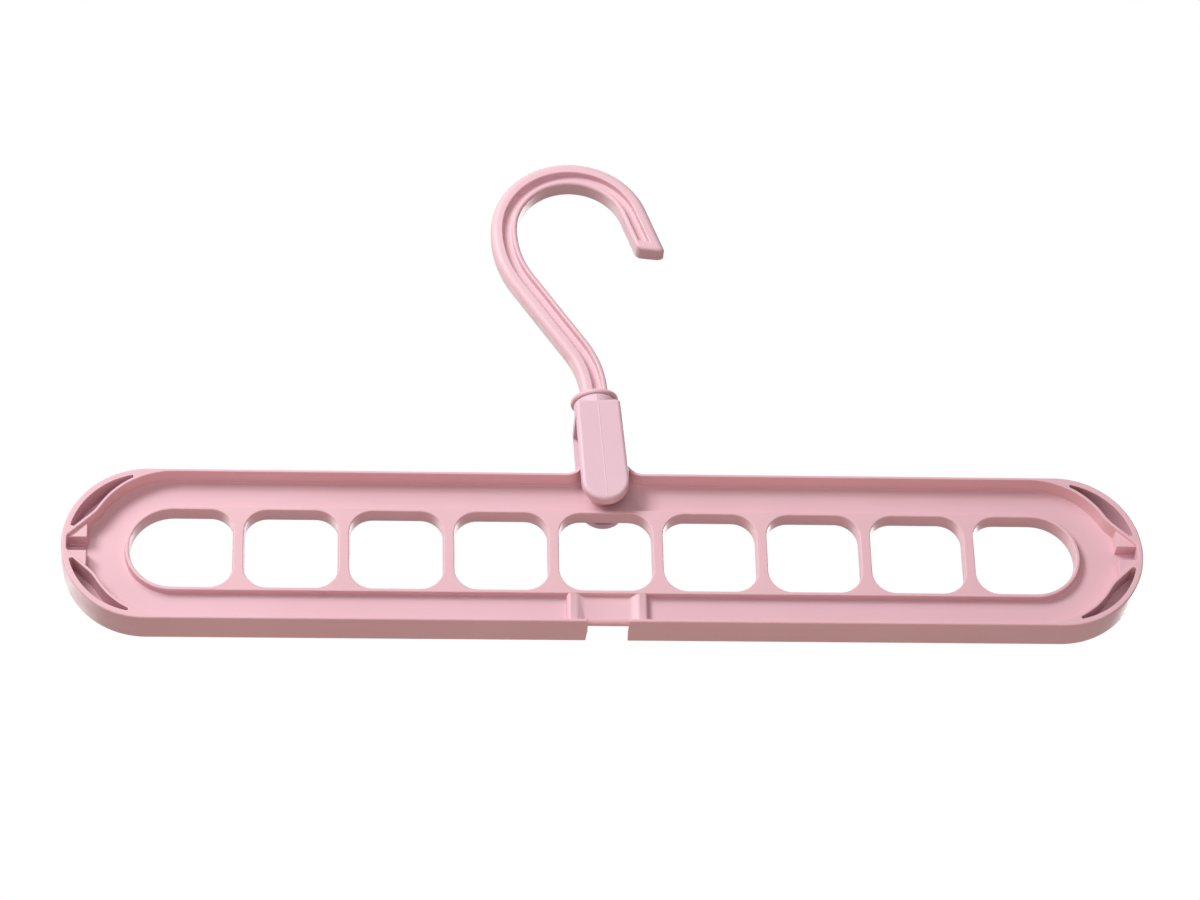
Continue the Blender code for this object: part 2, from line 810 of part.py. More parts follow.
def make_hook(frame):
    hook = object_from("swivel_hook", band_solid(), frame, material=hook_plastic())
    join_to(hook, guide("collar_and_shank", stub_solid(), frame))
    cut_from(hook, guide("shank_slit", slit_solid(), frame))
    shade(hook)
    return hook


def main():
    clear_scene()
    location = pivot_location()
    pivot_frame = empty("pivot_frame", location=location)
    swivel_frame = empty("swivel_frame", location=location, lean_deg=LEAN_DEG)
    make_bar(pivot_frame)
    make_yoke(swivel_frame)
    make_hook(swivel_frame)


main()
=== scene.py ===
"""Looks of the hanger organizer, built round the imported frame."""

import json
import math

import bmesh
import bpy
from mathutils import Matrix, Vector


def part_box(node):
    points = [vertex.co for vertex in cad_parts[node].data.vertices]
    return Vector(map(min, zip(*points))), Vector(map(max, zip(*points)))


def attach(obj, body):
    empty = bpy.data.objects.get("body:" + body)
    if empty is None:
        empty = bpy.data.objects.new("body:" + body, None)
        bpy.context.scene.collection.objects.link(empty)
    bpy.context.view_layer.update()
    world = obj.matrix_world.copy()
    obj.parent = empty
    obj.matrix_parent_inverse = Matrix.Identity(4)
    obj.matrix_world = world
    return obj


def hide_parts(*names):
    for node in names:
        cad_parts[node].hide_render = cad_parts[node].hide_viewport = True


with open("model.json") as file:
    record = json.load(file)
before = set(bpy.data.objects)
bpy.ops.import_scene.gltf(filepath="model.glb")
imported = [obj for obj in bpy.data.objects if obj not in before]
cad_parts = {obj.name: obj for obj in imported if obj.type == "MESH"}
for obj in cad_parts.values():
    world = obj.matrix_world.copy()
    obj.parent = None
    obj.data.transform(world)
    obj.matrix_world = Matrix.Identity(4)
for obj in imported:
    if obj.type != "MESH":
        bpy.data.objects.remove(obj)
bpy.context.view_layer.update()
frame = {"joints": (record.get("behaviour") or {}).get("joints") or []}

# Where the pieces are, read from the frame
BAR_LOW, BAR_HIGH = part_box("nine_hole_bar")
YOKE_LOW, YOKE_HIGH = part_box("fork_yoke")
SWIVEL = next(joint for joint in frame["joints"] if joint["name"] == "yoke_swivel")
PIVOT = Vector(SWIVEL["pos_m"])
LEAN = math.atan2(-SWIVEL["axis"][0], SWIVEL["axis"][2])

# Bar: overall size, walls and web
HALF_LENGTH = (BAR_HIGH.x - BAR_LOW.x) / 2
HALF_HEIGHT = 0.02865
HALF_DEPTH = (BAR_HIGH.y - BAR_LOW.y) / 2
BAR_CENTRE = Vector((PIVOT.x, 0, BAR_LOW.z + HALF_HEIGHT))
PIVOT_HEIGHT = PIVOT.z - BAR_CENTRE.z
BAR_EDGE = 0.0006
BAR_DRAFT = 0.00012
RAIL_WALL = 0.0012
RAIL_EDGE = 0.0003
END_WALL = 0.0019
WEB_HALF = 0.0009
RECESS_DRAFT = 0.00045
RECESS_FILLET = 0.00025

# Bar: curved wall at each end, with its pockets and slotted blocks
CURL_RADIUS = 0.028
CURL_STEEP = math.radians(59.4)
CURL_BACK_RADIUS = 0.0158
CURL_FLAT = math.radians(43.0)
CURL_CORNER = 0.0016
CURL_FLOOR_HALF = 0.0018
CURL_WALL = 0.001
POCKET_WALL = 0.0022
POCKET_FLOOR = HALF_DEPTH - 0.009
POCKET_TIP_GAP = 0.0009
POCKET_TIP_ROUND = 0.00042
POCKET_EDGE = 0.00015
POCKET_DRAFT = 0.0001
BLOCK_LENGTH = 0.0067
BLOCK_FACE = HALF_DEPTH - 0.0012
BLOCK_EDGE = 0.00025
BLOCK_DRAFT = 0.0003
SLOT_HALF = 0.0025
SLOT_FLOOR = 0.0002

# Bar: rim and holes
RIM_LENGTH_HALF = HALF_LENGTH - 0.0212
RIM_HEIGHT_HALF = 0.016
RIM_FACE = 0.0035
RIM_WALL = 0.00127
RIM_DRAFT = 0.0003
RIM_EDGE = 0.00035
RIM_FILLET = 0.0004
HOLE_COUNT = 9
HOLE_PITCH = 0.03528
SEPARATOR = 0.0035
HOLE_CORNER = 0.008
HOLE_DRAFT = 0.00035
HOLE_EDGE = 0.00045

# Bar: hub, notch, ribs and notch floor
HUB_RADIUS = 0.011
HUB_FILLET = 0.0055
BOSS_RADIUS = 0.0058
BOSS_FACE = HALF_DEPTH - 0.0003
BOSS_EDGE = 0.0004
BOSS_FLARE = 0.0004
BORE_RADIUS = 0.0023
NOTCH_HALF = 0.007
NOTCH_FLARE = 0.0002
NOTCH_EDGE = 0.0005
NOTCH_CORNER = 0.0004
RIB_FOOT = 0.0073
RIB_RIDGE_IN = 0.0103
RIB_RIDGE_OUT = 0.0135
RIB_FACE = 0.0034
RIB_ROUND_IN = 0.003
RIB_ROUND_OUT = 0.0014
PLATE_HALF = 0.0017
PLATE_NOSE = 0.02635

# Yoke
LEG_HALF = 0.00775
LEG_FOOT = 0.0081
YOKE_DEPTH = (YOKE_HIGH.y - YOKE_LOW.y) / 2
GAP_HALF = HALF_DEPTH + 0.0003
LEG_EDGE = 0.0014
HEAD_BOTTOM = 0.0254
HEAD_SHOULDER = 0.0314
HEAD_ROUND = 0.0018
HEAD_TOP = 0.0352
HEAD_SEAT = 0.0074
HEAD_FLARE = 0.0013
HEAD_CREASE = 0.0006
HEAD_LAP = 0.0011
CAVITY_HALF = 0.0081
CAVITY_TOP = 0.027
CAVITY_ROUND = 0.001
CAVITY_LAP = 0.0003
SHANK_BORE = 0.0033
PIN_RADIUS = 0.002
PIN_TIP = 0.0039
PIN_TAPER = 0.0006
SEAM_HALF = 0.00025

# Hook: collar and snap shank
COLLAR_RADIUS = 0.0084
COLLAR_BOTTOM = 0.0355
COLLAR_TOP = 0.0374
COLLAR_EDGE = 0.0009
SHANK_RADIUS = 0.003
BARB_RADIUS = 0.0041
BARB_TIP_RADIUS = 0.0026
BARB_TOP = 0.0267
BARB_BOTTOM = 0.0235
BARB_LIP = 0.0006
SLIT_HALF = 0.0005
SLIT_TOP = 0.029

# Hook: grooved band
BAND_HALF = 0.00461
BAND_FACE = 0.0037
BAND_EDGE = 0.0023
BAND_INNER_EDGE = 0.0011
GROOVE_OUTER = 0.0005
GROOVE_INNER = 0.0029
GROOVE_DEPTH = 0.0024
GROOVE_DRAFT = 0.00025
GROOVE_EDGE = 0.0005
GROOVE_FILLET = 0.00035
GROOVE_RUN = 0.0003
GROOVE_END = 0.0037
STEM_FOOT = 0.003
STEM_BEND_RADIUS = 0.036
STEM_LEAN = math.radians(30.2)
STEM_LENGTH = 0.0325
SHOULDER_RADIUS = 0.0377
SHOULDER_TURN = math.radians(35.2)
ARC_RADIUS = 0.02375
ARC_TURN = math.radians(158.6)
TIP_LENGTH = 0.0174
TIP_CUT = math.radians(26.0)
TIP_ROUND = 0.0017
TIP_FACE_ROUND = 0.0013

# Facets, tolerances and shading
ARC_STEPS = 72
CURL_STEPS = 28
FINE_STEPS = 6
CORNER_STEPS = 14
ROUND_STEPS = 72
BAND_STEPS = 84
SMALLEST = 1e-7
NEARLY = 10 * SMALLEST
MITRE_LIMIT = 0.4
SHARP = math.radians(38)
FLAT_WEIGHT = 90

# Camera, as fitted to the photograph
VIEW_TURN = math.radians(4.35)
VIEW_RISE = math.radians(-30.22)
VIEW_ROLL = math.radians(1.55)
VIEW_LENS = 120
VIEW_SENSOR = 36
VIEW_PLACE = Vector((0.0023, -0.03244, -1.34497))

# Colour sockets of the Mix node, and the part of a noise's range that is used
MIX_FIRST = 6
MIX_SECOND = 7
MIX_RESULT = 2
NOISE_LOW = 0.3
NOISE_HIGH = 0.7

# Plastic: colours, flow clouds, painted highlight on convex edges, roughness and gloss
BAR_PINK = (0.71, 0.45, 0.50, 1.0)
BAR_SHADE = (0.68, 0.42, 0.47, 1.0)
YOKE_PINK = (0.72, 0.50, 0.565, 1.0)
YOKE_SHADE = (0.69, 0.47, 0.535, 1.0)
HOOK_PINK = (0.75, 0.495, 0.545, 1.0)
HOOK_SHADE = (0.72, 0.465, 0.515, 1.0)
CLOUD_SCALE = 22.0
CLOUD_DETAIL = 3.0
# Painted highlight: convex edges, found by pointiness, drift to a paler copy of the pink
EDGE_HIGHLIGHT_LOW = 0.52
EDGE_HIGHLIGHT_HIGH = 0.62
EDGE_HIGHLIGHT_SHARE = 0.35
EDGE_HIGHLIGHT_LIFT = 1.12
ROUGH_SCALE = 140.0
ROUGH_DETAIL = 4.0
ROUGH_LOW = 0.36
ROUGH_HIGH = 0.5
PLASTIC_IOR = 1.49
PLASTIC_SPECULAR = 0.3

# Plastic: bumps, each as noise scale, noise detail, strength and height
GRAIN = (900.0, 2.0, 0.12, 0.00012)
WAVES = (45.0, 1.0, 0.1, 0.0006)
SEAM_STRENGTH = 0.6
SEAM_HEIGHT = 0.0001

# Floor and world
WHITE = (1.0, 1.0, 1.0, 1.0)
FLOOR_HALF = 3
FLOOR_HEIGHT = -1.7
FLOOR_COLOUR = (0.38, 0.37, 0.37, 1.0)
FLOOR_SHADE = (0.42, 0.41, 0.41, 1.0)
FLOOR_SCALE = 3.0
FLOOR_DETAIL = 3.0
FLOOR_ROUGHNESS = 0.8
FLOOR_GLOW = 0.6
FILL_STRENGTH = 0.13
FILL_COLOUR = (1.0, 0.74, 0.66, 1.0)

# Lights, each as name, place, aim, width, height, power and colour
PLAIN_LIGHT = (1.0, 1.0, 1.0)
COOL_LIGHT = (0.95, 0.99, 1.0)
WARM_LIGHT = (1.0, 0.64, 0.44)
LIGHTS = (
    ("key", (-1.3, -1.45, 0.62), (0, 0, -0.12), 0.7, 0.7, 31.5, COOL_LIGHT),
    ("near_left", (-0.35, -0.6, 0.45), (0, 0, -0.05), 0.35, 0.35, 3.2, PLAIN_LIGHT),
    ("front_fill", (-0.1, -1.75, -0.5), (0, 0, -0.12), 1.2, 1.2, 8.5, PLAIN_LIGHT),
    ("back_key", (1.2, 1.5, 0.7), (0, 0, -0.12), 0.9, 0.9, 22, COOL_LIGHT),
    ("back_fill", (-1.3, 1.5, 0.1), (0, 0, -0.12), 1.0, 1.0, 9, PLAIN_LIGHT),
    ("low_warm", (0, -0.075, -0.4), (0, 0, -0.15), 0.7, 0.1, 0.35, WARM_LIGHT),
)


def arc(centre, radius, start, end, steps):
    """Points on an arc; the angles are in degrees."""
    points = []
    for step in range(steps + 1):
        angle = math.radians(start + (end - start) * step / steps)
        x = centre[0] + radius * math.cos(angle)
        points.append((x, centre[1] + radius * math.sin(angle)))
    return points


def mirror_x(points):
    """A run mirrored in x, and turned round so that it goes on the same way."""
    return [(-x, z) for x, z in reversed(points)]


def mirror_z(points):
    """A run mirrored in z, and turned round so that it goes on the same way."""
    return [(x, -z) for x, z in reversed(points)]


def chain(*runs):
    """One outline from several runs, with a shared end point kept once."""
    points = []
    for run in runs:
        for point in run:
            if not points or math.dist(point, points[-1]) > SMALLEST:
                points.append(point)
    if math.dist(points[0], points[-1]) < SMALLEST:
        points.pop()
    return points


def oblong(half_x, half_y):
    """A rectangle about the origin, counter-clockwise from its lower left corner."""
    return [(-half_x, -half_y), (half_x, -half_y), (half_x, half_y), (-half_x, half_y)]


def rounded(corners):
    """A closed outline from (x, y, radius) corners."""
    points = []
    count = len(corners)
    for index, (x, y, radius) in enumerate(corners):
        here = Vector((x, y))
        before = Vector(corners[index - 1][:2]) - here
        after = Vector(corners[(index + 1) % count][:2]) - here
        if radius <= 0:
            points.append((x, y))
            continue
        before.normalize()
        after.normalize()
        half = before.angle(after) / 2
        reach = radius / math.tan(half)
        middle = (before + after).normalized() * (radius / math.sin(half))
        centre = here + middle
        start = here + before * reach - centre
        end = here + after * reach - centre
        turn = start.angle_signed(end)
        for step in range(FINE_STEPS + 1):
            spoke = start.copy()
            spoke.rotate(Matrix.Rotation(-turn * step / FINE_STEPS, 2))
            points.append(tuple(centre + spoke))
    return points


def offset(points, inset):
    """A closed counter-clockwise outline moved inwards by inset."""
    moved = []
    count = len(points)
    for index in range(count):
        here = Vector(points[index])
        first = (here - Vector(points[index - 1])).normalized()
        last = (Vector(points[(index + 1) % count]) - here).normalized()
        normal = Vector((-first.y - last.y, first.x + last.x))
        share = max(1 + first.dot(last), MITRE_LIMIT)
        moved.append(tuple(here + normal * (inset / share)))
    return moved


def add_loop(bm, points, y):
    return [bm.verts.new((x, y, z)) for x, z in points]


def add_band(bm, first, second):
    """A ring of quads between two loops with the same number of points."""
    count = len(first)
    for index in range(count):
        after = (index + 1) % count
        bm.faces.new((first[index], first[after], second[after], second[index]))


def add_bands(bm, loops):
    for lower, upper in zip(loops, loops[1:]):
        add_band(bm, lower, upper)


def add_stack(bm, outline, levels):
    """Loops of one outline, each at its own inset and y, joined by bands."""
    loops = [add_loop(bm, outline(inset), y) for inset, y in levels]
    add_bands(bm, loops)
    return loops[0], loops[-1]


def edges_of(bm, loop):
    found = []
    for index, vert in enumerate(loop):
        after = loop[(index + 1) % len(loop)]
        found.append(bm.edges.get((vert, after)) or bm.edges.new((vert, after)))
    return found


def add_plane(bm, loops):
    """A flat region bounded by one outer loop and any number of inner loops."""
    edges = [edge for loop in loops for edge in edges_of(bm, loop)]
    bmesh.ops.triangle_fill(bm, use_beauty=True, use_dissolve=False, edges=edges)


def finish_solid(bm):
    """Turns all faces of a closed mesh outwards."""
    bmesh.ops.recalc_face_normals(bm, faces=bm.faces)
    if bm.calc_volume(signed=True) < 0:
        bmesh.ops.reverse_faces(bm, faces=bm.faces)
    return bm


def stacked(outline, levels):
    """A solid from one outline at several insets and y, with flat ends."""
    bm = bmesh.new()
    first, last = add_stack(bm, outline, levels)
    bm.faces.new(first)
    bm.faces.new(last)
    return finish_solid(bm)


def extruded(section, place, low, high):
    """A solid with one section between two values; place turns (a, b, value) into a point."""
    bm = bmesh.new()
    loops = [[bm.verts.new(place(a, b, value)) for a, b in section] for value in (low, high)]
    add_band(bm, loops[0], loops[1])
    bm.faces.new(loops[0])
    bm.faces.new(loops[1])
    return finish_solid(bm)


def along_x(y, z, x):
    return (x, y, z)


def along_z(x, y, z):
    return (x, y, z)


def turned(profile):
    """A solid turned about Z from (radius, z) points, both ends on the axis."""
    bm = bmesh.new()
    ends = [bm.verts.new((0, 0, z)) for radius, z in (profile[0], profile[-1])]
    rings = []
    for radius, z in profile[1:-1]:
        ring = arc((0, 0), radius, 0, 360, ROUND_STEPS)[:-1]
        rings.append([bm.verts.new((x, y, z)) for x, y in ring])
    add_bands(bm, rings)
    for ring, end in ((rings[0], ends[0]), (rings[-1], ends[1])):
        for index, vert in enumerate(ring):
            bm.faces.new((vert, ring[(index + 1) % ROUND_STEPS], end))
    return finish_solid(bm)


def new_object(name, bm):
    mesh = bpy.data.meshes.new(name)
    bm.to_mesh(mesh)
    bm.free()
    obj = bpy.data.objects.new(name, mesh)
    bpy.context.collection.objects.link(obj)
    return obj


def combine(name, base, steps):
    """base with each (operation, solid) of steps applied in turn, as one mesh."""
    obj = new_object(name, base)
    operands = []
    for operation, solid in steps:
        operand = new_object(name + "_operand", solid)
        modifier = obj.modifiers.new("step", "BOOLEAN")
        modifier.object = operand
        modifier.operation = operation
        modifier.solver = "EXACT"
        operands.append(operand)
    settle(obj)
    for operand in operands:
        mesh = operand.data
        bpy.data.objects.remove(operand)
        bpy.data.meshes.remove(mesh)
    return obj


def settle(obj):
    """Applies an object's modifiers to its mesh."""
    graph = bpy.context.evaluated_depsgraph_get()
    mesh = bpy.data.meshes.new_from_object(obj.evaluated_get(graph))
    old = obj.data
    obj.modifiers.clear()
    obj.data = mesh
    bpy.data.meshes.remove(old)


def smooth(obj):
    """Smooth shading that keeps flat faces flat next to their rounded edges."""
    obj.data.shade_smooth()
    obj.data.set_sharp_from_angle(angle=SHARP)
    modifier = obj.modifiers.new("weighted", "WEIGHTED_NORMAL")
    modifier.keep_sharp = True
    modifier.weight = FLAT_WEIGHT


def quarter(steps=FINE_STEPS):
    """Angles of a quarter turn, from 0 to 90 degrees, in radians."""
    return [math.pi / 2 * step / steps for step in range(steps + 1)]


def edge_levels(face, radius, draft=0.0):
    """(inset, depth) down a rounded outer edge, from the face to the wall."""
    levels = []
    for angle in reversed(quarter()):
        inset = draft + radius * (1 - math.cos(angle))
        levels.append((inset, face - radius + radius * math.sin(angle)))
    return levels


def mouth_levels(face, radius):
    """(inset, depth) over the rounded edge of an opening, from the face inwards."""
    levels = []
    for angle in quarter():
        inset = radius * (math.sin(angle) - 1)
        levels.append((inset, face - radius + radius * math.cos(angle)))
    return levels


def foot_levels(floor, radius, draft=0.0):
    """(inset, depth) down the fillet where a wall meets a floor."""
    levels = []
    for angle in quarter():
        inset = draft + radius * (1 - math.cos(angle))
        levels.append((inset, floor + radius - radius * math.sin(angle)))
    return levels


def signed(levels, sign):
    """Levels on the front, for -1, or on the back, for 1."""
    return [(inset, sign * depth) for inset, depth in levels]


def hub_points(inset):
    """The rail's bump over the pivot, from right to left."""
    height = HALF_HEIGHT - PIVOT_HEIGHT + HUB_FILLET
    side = math.sqrt((HUB_RADIUS + HUB_FILLET) ** 2 - height ** 2)
    lift = math.degrees(math.atan2(height, side))
    centre = (side, PIVOT_HEIGHT + height)
    right = arc(centre, HUB_FILLET + inset, 270, 180 + lift, CORNER_STEPS)
    crown = arc((0, PIVOT_HEIGHT), HUB_RADIUS - inset, lift, 180 - lift, CURL_STEPS)
    return chain(right, crown, mirror_x(right))


def bar_outline(inset):
    """The outer outline of the bar, counter-clockwise from the lower right."""
    centre = HALF_LENGTH - HALF_HEIGHT
    right = arc((centre, 0), HALF_HEIGHT - inset, -90, 90, ARC_STEPS)
    return chain(right, hub_points(inset), mirror_x(right))


def curl_run(inset, cornered):
    """The recess edge at one end, from the upper rail to the slot."""
    rail = HALF_HEIGHT - RAIL_WALL
    drop = CURL_RADIUS * (1 - math.cos(CURL_STEEP))
    drop += CURL_BACK_RADIUS * (math.cos(CURL_FLAT) - math.cos(CURL_STEEP))
    drop += CURL_CORNER * math.cos(CURL_FLAT)
    straight = (rail - drop - CURL_FLOOR_HALF) / math.sin(CURL_FLAT)
    length = CURL_RADIUS * math.sin(CURL_STEEP)
    length += CURL_BACK_RADIUS * (math.sin(CURL_STEEP) - math.sin(CURL_FLAT))
    length += straight * math.cos(CURL_FLAT)
    length += CURL_CORNER * (1 - math.sin(CURL_FLAT))
    first = (HALF_LENGTH - END_WALL - length, rail - CURL_RADIUS)
    steep = math.degrees(CURL_STEEP)
    flat = math.degrees(CURL_FLAT)
    points = arc(first, CURL_RADIUS - inset, 90, 90 - steep, CURL_STEPS)
    reach = CURL_RADIUS + CURL_BACK_RADIUS
    second = (first[0] + reach * math.sin(CURL_STEEP), first[1] + reach * math.cos(CURL_STEEP))
    back = arc(second, CURL_BACK_RADIUS + inset, 270 - steep, 270 - flat, CORNER_STEPS)
    points = chain(points, back)
    last = points[-1]
    end_x = last[0] + straight * math.cos(CURL_FLAT)
    points.append((end_x, last[1] - straight * math.sin(CURL_FLAT)))
    if cornered:
        corner = (HALF_LENGTH - END_WALL - CURL_CORNER, CURL_FLOOR_HALF)
        points = chain(points, arc(corner, CURL_CORNER - inset, 90 - flat, 0, FINE_STEPS))
    return points


def recess_outline(inset):
    """The inner edge of the rails, curved walls and hub, counter-clockwise."""
    upper_right = curl_run(inset, True)
    right = chain(mirror_z(upper_right)[::-1], upper_right[::-1])
    return chain(right, hub_points(RAIL_WALL + inset), mirror_x(right))


def rim_outline(inset):
    centre = RIM_LENGTH_HALF - RIM_HEIGHT_HALF
    right = arc((centre, 0), RIM_HEIGHT_HALF - inset, -90, 90, ARC_STEPS)
    return chain(right, mirror_x(right))


def hole_outline(index):
    """The outline of one hole of the row; the end holes have a round outer end."""
    middle = (index - (HOLE_COUNT - 1) / 2) * HOLE_PITCH
    half = (HOLE_PITCH - SEPARATOR) / 2
    height = RIM_HEIGHT_HALF - RIM_WALL
    round_centre = RIM_LENGTH_HALF - RIM_HEIGHT_HALF

    def outline(inset):
        right = middle + half - HOLE_CORNER
        left = middle - half + HOLE_CORNER
        rise = height - HOLE_CORNER
        corner = HOLE_CORNER - inset
        right_end = chain(
            arc((right, -rise), corner, -90, 0, CORNER_STEPS),
            arc((right, rise), corner, 0, 90, CORNER_STEPS),
        )
        left_end = chain(
            arc((left, rise), corner, 90, 180, CORNER_STEPS),
            arc((left, -rise), corner, 180, 270, CORNER_STEPS),
        )
        if index == HOLE_COUNT - 1:
            right_end = arc((round_centre, 0), height - inset, -90, 90, CURL_STEPS)
        if index == 0:
            left_end = arc((-round_centre, 0), height - inset, 90, 270, CURL_STEPS)
        return chain(right_end, left_end)

    return outline


def inside_circle(points, centre, radius):
    """The part of a run that lies inside a circle, cut at the circle."""
    kept = []
    for first, last in zip(points, points[1:]):
        first_gap = radius - math.dist(first, centre)
        last_gap = radius - math.dist(last, centre)
        if first_gap * last_gap < 0:
            share = first_gap / (first_gap - last_gap)
            x = first[0] + (last[0] - first[0]) * share
            z = first[1] + (last[1] - first[1]) * share
            kept.append((x, z))
        if last_gap > 0:
            kept.append(last)
    return kept


def pocket_outline(side, level):
    """A crescent with round tips between the curved wall and the outer wall."""
    radius = HALF_HEIGHT - POCKET_WALL
    centre = (HALF_LENGTH - HALF_HEIGHT, 0)
    inner = inside_circle(curl_run(-CURL_WALL, False), centre, radius - POCKET_TIP_GAP)
    start = math.degrees(math.atan2(inner[-1][1], inner[-1][0] - centre[0]))
    end = math.degrees(math.atan2(inner[0][1], inner[0][0] - centre[0]))
    outer = arc(centre, radius, start, end, CURL_STEPS)
    tips = {outer[0], outer[-1], inner[0], inner[-1]}
    corners = [(*point, POCKET_TIP_ROUND if point in tips else 0) for point in outer + inner]
    base = rounded(corners)

    def outline(inset):
        return [(side * x, level * z) for x, z in offset(base, inset)]

    return outline


def bar_body():
    """The bar's moulding: rails, web, rim, holes and pockets, as one closed mesh."""
    bm = bmesh.new()
    outer = edge_levels(HALF_DEPTH, BAR_EDGE, BAR_DRAFT)
    outer_front, outer_back = add_stack(
        bm, bar_outline, signed(outer, -1) + [(0, 0)] + signed(outer[::-1], 1)
    )
    pockets = []
    for side in (1, -1):
        for level in (1, -1):
            levels = mouth_levels(HALF_DEPTH, POCKET_EDGE)
            levels += foot_levels(POCKET_FLOOR, POCKET_EDGE, POCKET_DRAFT)
            mouth, floor = add_stack(bm, pocket_outline(side, level), signed(levels, -1))
            bm.faces.new(floor)
            pockets.append(mouth)
    hole_rims = {-1: [], 1: []}
    hole = mouth_levels(RIM_FACE, HOLE_EDGE)
    for index in range(HOLE_COUNT):
        levels = signed(hole, -1) + [(HOLE_DRAFT, 0)] + signed(hole[::-1], 1)
        front, back = add_stack(bm, hole_outline(index), levels)
        hole_rims[-1].append(front)
        hole_rims[1].append(back)
    recess = mouth_levels(HALF_DEPTH, RAIL_EDGE)
    recess += foot_levels(WEB_HALF, RECESS_FILLET, RECESS_DRAFT)
    rim_foot = foot_levels(WEB_HALF, RIM_FILLET, RIM_DRAFT)
    rim = [(-inset, depth) for inset, depth in rim_foot[::-1]]
    rim += edge_levels(RIM_FACE, RIM_EDGE)[::-1]
    for sign, outer_loop, pocket_loops in ((-1, outer_front, pockets), (1, outer_back, [])):
        mouth, foot = add_stack(bm, recess_outline, signed(recess, sign))
        base, top = add_stack(bm, rim_outline, signed(rim, sign))
        add_plane(bm, [outer_loop, mouth] + pocket_loops)
        add_plane(bm, [foot, base])
        add_plane(bm, [top] + hole_rims[sign])
    return finish_solid(bm)


def boss_solid():
    levels = edge_levels(BOSS_FACE, BOSS_EDGE)
    levels += [(-inset, depth) for inset, depth in foot_levels(WEB_HALF, BOSS_FLARE)]
    levels = signed(levels, -1) + signed(levels[::-1], 1)

    def outline(inset):
        return arc((0, PIVOT_HEIGHT), BOSS_RADIUS - inset, 0, 360, ROUND_STEPS)[:-1]

    return stacked(outline, levels)


def bore_solid():
    outline = arc((0, PIVOT_HEIGHT), BORE_RADIUS, 0, 360, ROUND_STEPS)[:-1]
    return stacked(lambda inset: outline, ((0, -2 * HALF_DEPTH), (0, 2 * HALF_DEPTH)))


def block_solid(side, level):
    """Half of the block pair at one end, from its slot to the curved wall."""
    wall_end = HALF_LENGTH - END_WALL / 2
    start = HALF_LENGTH - END_WALL - BLOCK_LENGTH
    run = [point for point in curl_run(-CURL_WALL / 2, False) if point[1] > SLOT_HALF]
    before = max(point for point in run if point[0] < start)
    after = min(point for point in run if point[0] > start)
    share = (start - before[0]) / (after[0] - before[0])
    first = (start, before[1] + share * (after[1] - before[1]))
    base = [(start, SLOT_HALF), (wall_end, SLOT_HALF), after, first]
    levels = edge_levels(BLOCK_FACE, BLOCK_EDGE) + [(-BLOCK_DRAFT, WEB_HALF)]
    levels = signed(levels, -1) + signed(levels[::-1], 1)

    def outline(inset):
        return [(side * x, level * z) for x, z in offset(base, inset)]

    return stacked(outline, levels)


def rib_solid(side):
    """A rib from the rim to the lower wall, with a sloped flank towards the notch."""
    corners = [
        (RIB_FOOT, PLATE_HALF, 0),
        (RIB_RIDGE_IN, RIB_FACE, RIB_ROUND_IN),
        (RIB_RIDGE_OUT, RIB_FACE, RIB_ROUND_OUT),
        (RIB_RIDGE_OUT + RIM_DRAFT, WEB_HALF, 0),
    ]
    corners += [(x, -y, radius) for x, y, radius in reversed(corners)]
    section = [(side * x, y) for x, y in rounded(corners)]
    bottom = RAIL_WALL / 2 - HALF_HEIGHT
    return extruded(section, along_z, bottom, RIM_WALL / 2 - RIM_HEIGHT_HALF)


def plate_solid():
    """The thick floor of the notch, with a round lower edge."""
    nose = arc((0, PLATE_HALF - PLATE_NOSE), PLATE_HALF, 180, 360, CORNER_STEPS)
    top = RIM_WALL / 2 - RIM_HEIGHT_HALF
    section = chain([(-PLATE_HALF, top)], nose, [(PLATE_HALF, top)])
    reach = (RIB_FOOT + RIB_RIDGE_IN) / 2
    return extruded(section, along_x, -reach, reach)


def notch_solid():
    """What the notch takes out of the lower wall, its front, back and bottom edges round."""
    run = []
    for sign, half in ((-1, NOTCH_HALF), (1, NOTCH_HALF + NOTCH_FLARE)):
        side = [(half + NOTCH_EDGE, sign * 2 * HALF_DEPTH)]
        for inset, depth in mouth_levels(HALF_DEPTH, NOTCH_EDGE):
            side.append((half - inset, sign * depth))
        run += side if sign < 0 else side[::-1]
    section = run + [(-x, y) for x, y in reversed(run)]
    levels = [(-NOTCH_CORNER, -2 * HALF_HEIGHT)]
    levels += [(inset, -depth) for inset, depth in mouth_levels(HALF_HEIGHT, NOTCH_CORNER)]
    levels.append((0, PLATE_HALF - PLATE_NOSE))
    bm = bmesh.new()
    loops = []
    for inset, z in levels:
        loops.append([bm.verts.new((x - math.copysign(inset, x), y, z)) for x, y in section])
    add_bands(bm, loops)
    bm.faces.new(loops[0])
    bm.faces.new(loops[-1])
    return finish_solid(bm)


def slot_solid():
    """The thinner web in the slot at the left end."""
    start = END_WALL - HALF_LENGTH
    section = [
        (start, -HALF_DEPTH / 2),
        (start + BLOCK_LENGTH, -HALF_DEPTH / 2),
        (start + BLOCK_LENGTH, SLOT_FLOOR),
        (start, SLOT_FLOOR),
    ]
    half = SLOT_HALF - 2 * BLOCK_DRAFT
    return extruded(section, along_z, -half, half)


def make_bar():
    steps = [("DIFFERENCE", notch_solid()), ("UNION", plate_solid())]
    for side in (1, -1):
        steps.append(("UNION", rib_solid(side)))
        for level in (1, -1):
            steps.append(("UNION", block_solid(side, level)))
    steps += [("DIFFERENCE", slot_solid()), ("UNION", boss_solid())]
    steps.append(("DIFFERENCE", bore_solid()))
    bar = combine("bar_moulding", bar_body(), steps)
    bar.data.transform(Matrix.Translation(BAR_CENTRE))
    smooth(bar)
    return bar


